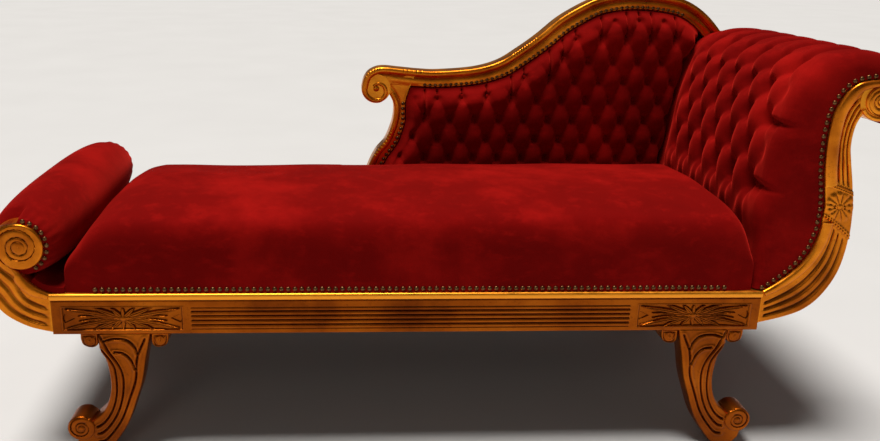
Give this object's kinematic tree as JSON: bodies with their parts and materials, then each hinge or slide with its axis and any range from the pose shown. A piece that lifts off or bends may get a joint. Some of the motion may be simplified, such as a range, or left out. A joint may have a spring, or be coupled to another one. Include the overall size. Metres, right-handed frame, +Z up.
{
  "type": "fainting couch",
  "caption": "Gilded scroll-end fainting couch with a crowned seat, rolled foot end, buttoned head end and a part back under a moulded crest.",
  "frame": {"origin": "on the floor, under the middle of the couch", "axes": "+X along the seat towards the head end, +Y towards the back, +Z up"},
  "size_m": [1.883, 0.658, 0.9651],
  "materials": {
    "gilt_wood": "antique gilt over carved wood",
    "dark_gilt_wood": "antique gilt, darker, over carved wood",
    "frame_wood": "bare planed hardwood",
    "velvet": "crimson velvet",
    "nail_brass": "aged brass",
    "screw_steel": "plain steel",
    "black_lining": "black lining cloth",
    "jute_webbing": "woven jute",
    "hessian": "coarse woven jute",
    "foam": "upholstery foam"
  },
  "bodies": {
    "root": {"front_seat_rail": "dark_gilt_wood", "back_seat_rail": "dark_gilt_wood", "foot_end_rail": "frame_wood", "head_end_rail": "frame_wood", "seat_cross_braces": "frame_wood", "corner_blocks": "frame_wood", "corner_block_screws": "screw_steel", "rail_dowels": "frame_wood", "leg_dowels": "frame_wood", "front_foot_arm": "gilt_wood", "back_foot_arm": "gilt_wood", "front_head_arm": "gilt_wood", "back_head_arm": "gilt_wood", "front_foot_leg": "dark_gilt_wood", "front_head_leg": "dark_gilt_wood", "back_foot_leg": "dark_gilt_wood", "back_head_leg": "dark_gilt_wood", "front_leg_ears": "dark_gilt_wood", "back_leg_ears": "dark_gilt_wood", "foot_roll_core": "frame_wood", "foot_roll_cover": "velvet", "foot_inner_lining": "velvet", "foot_outside_cover": "velvet", "head_top_rail": "frame_wood", "head_middle_rail": "frame_wood", "head_lining_board": "frame_wood", "head_foam": "foam", "head_tufted_cover": "velvet", "head_buttons": "velvet", "head_outside_cover": "velvet", "crest_rail": "gilt_wood", "back_stile": "gilt_wood", "back_bottom_rail": "frame_wood", "back_webbing": "jute_webbing", "back_foam": "foam", "back_tufted_cover": "velvet", "back_buttons": "velvet", "back_outside_cover": "velvet", "seat_frame_front_bar": "frame_wood", "seat_frame_back_bar": "frame_wood", "seat_frame_foot_bar": "frame_wood", "seat_frame_head_bar": "frame_wood", "seat_frame_rear_bars": "frame_wood", "seat_cross_webbing": "jute_webbing", "seat_long_webbing": "jute_webbing", "seat_hessian": "hessian", "seat_foam": "foam", "seat_cover": "velvet", "bottom_dust_cover": "black_lining", "front_rail_nails": "nail_brass", "foot_scroll_nails": "nail_brass", "head_arm_nails": "nail_brass", "crest_nails": "nail_brass", "back_rail_nails": "nail_brass"}
  },
  "joints": []
}
